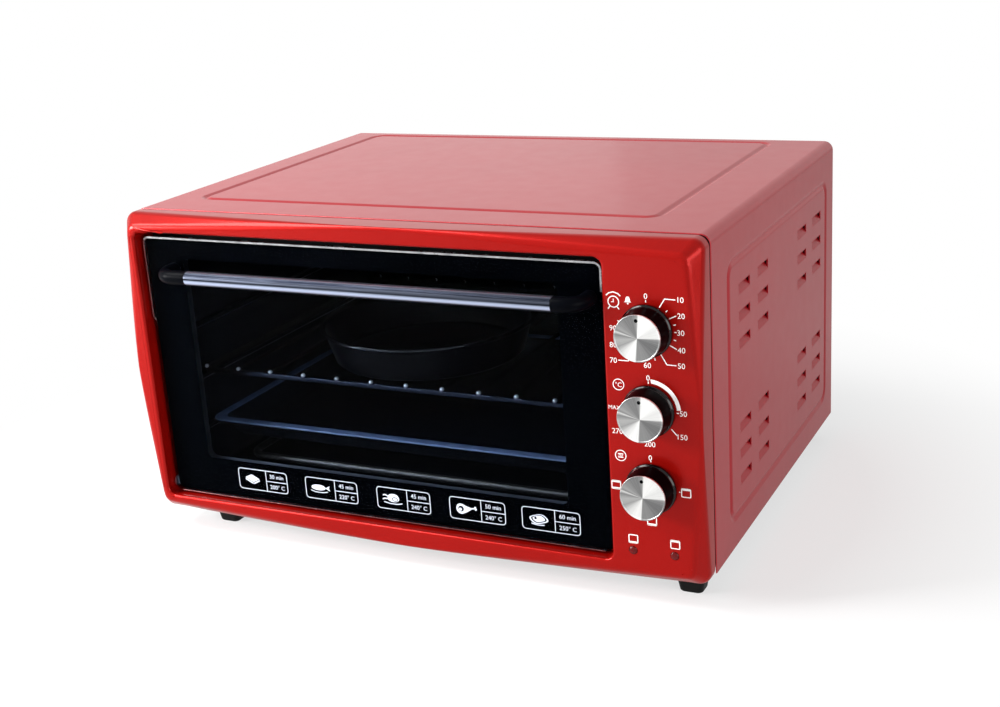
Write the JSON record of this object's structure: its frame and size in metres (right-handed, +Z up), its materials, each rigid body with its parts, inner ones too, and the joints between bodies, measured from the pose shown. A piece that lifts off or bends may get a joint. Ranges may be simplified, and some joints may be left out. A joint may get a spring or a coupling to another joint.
{
  "type": "mini oven",
  "caption": "Red table oven with a drop-down glass door, bar handle, rotary control knobs, wire rack, round pan and baking tray, on plastic feet.",
  "frame": {"origin": "on the table, under the middle of the whole outline", "axes": "+Z up, front with door and knobs faces -Y, +X to the right seen from the front"},
  "size_m": [0.5, 0.4158, 0.281],
  "materials": {
    "red_satin": "satin red paint",
    "red_gloss": "glossy metallic red paint",
    "galvanised": "galvanised sheet",
    "bright_steel": "bright drawn steel",
    "steel": "zinc plated",
    "spun_metal": "fine radial spun lines",
    "enamel": "dark speckled enamel",
    "heater_steel": "heat-tinted steel tube",
    "black_plastic": "black, softly glossy",
    "ceramic": "white ceramic",
    "red_lens": "clear red lens, unlit",
    "outer_glass": "tempered, black printed border",
    "inner_glass": "tempered",
    "brass": "copper alloy"
  },
  "bodies": {
    "casing": {"casing_wrapper": "red_satin", "base_pan": "galvanised", "rear_cover": "galvanised", "cord_gland": "black_plastic", "front_frame": "galvanised", "front_bezel": "red_gloss", "oven_liner": "enamel", "upper_heater": "heater_steel", "lower_heater": "heater_steel", "upper_front_bushing": "ceramic", "upper_rear_bushing": "ceramic", "lower_front_bushing": "ceramic", "lower_rear_bushing": "ceramic", "left_hinge_bracket": "galvanised", "right_hinge_bracket": "galvanised", "timer_body": "galvanised", "timer_bell": "brass", "thermostat_body": "galvanised", "thermostat_bulb": "brass", "selector_body": "ceramic", "left_lamp": "red_lens", "right_lamp": "red_lens", "front_left_foot": "black_plastic", "front_left_foot_screw": "steel", "front_right_foot": "black_plastic", "front_right_foot_screw": "steel", "rear_left_foot": "black_plastic", "rear_left_foot_screw": "steel", "rear_right_foot": "black_plastic", "rear_right_foot_screw": "steel"},
    "door": {"door_glass": "outer_glass", "door_frame": "galvanised", "door_inner_glass": "inner_glass", "handle_tube": "bright_steel", "left_handle_end": "black_plastic", "left_handle_screw": "steel", "left_hinge_pin": "steel", "left_stay_arm": "steel", "right_handle_end": "black_plastic", "right_handle_screw": "steel", "right_hinge_pin": "steel", "right_stay_arm": "steel"},
    "timer_dial": {"timer_knob": "black_plastic", "timer_knob_disc": "spun_metal", "timer_shaft": "steel"},
    "thermostat_dial": {"thermostat_knob": "black_plastic", "thermostat_knob_disc": "spun_metal", "thermostat_shaft": "steel"},
    "selector_dial": {"selector_knob": "black_plastic", "selector_knob_disc": "spun_metal", "selector_shaft": "steel"},
    "rack": {"wire_rack": "bright_steel", "round_pan": "enamel"},
    "tray": {"baking_tray": "enamel"}
  },
  "joints": [
    {"name": "door_hinge", "type": "hinge", "parent": "casing", "child": "door", "pos_m": [0, -0.1749, 0.0415], "axis": [1, 0, 0], "range_deg": [0, 90], "stiffness_Nm_per_rad": 0.6, "springref_deg": -28.65},
    {"name": "rack_slide", "type": "slide", "parent": "casing", "child": "rack", "axis": [0, -1, 0], "range_m": [0, 0.134]},
    {"name": "tray_slide", "type": "slide", "parent": "casing", "child": "tray", "axis": [0, -1, 0], "range_m": [0, 0.063]},
    {"name": "timer_turn", "type": "hinge", "parent": "casing", "child": "timer_dial", "pos_m": [0.2104, -0.1979, 0.216], "axis": [0, 1, 0], "range_deg": [-30, 270]},
    {"name": "thermostat_turn", "type": "hinge", "parent": "casing", "child": "thermostat_dial", "pos_m": [0.2104, -0.1979, 0.156], "axis": [0, 1, 0], "range_deg": [0, 270]},
    {"name": "selector_turn", "type": "hinge", "parent": "casing", "child": "selector_dial", "pos_m": [0.2104, -0.1979, 0.096], "axis": [0, 1, 0], "continuous": true}
  ],
  "couplings": [
    {"joint": "rack_slide", "follows": "door_hinge", "m_per_rad": 0.085},
    {"joint": "tray_slide", "follows": "door_hinge", "m_per_rad": 0.04}
  ]
}
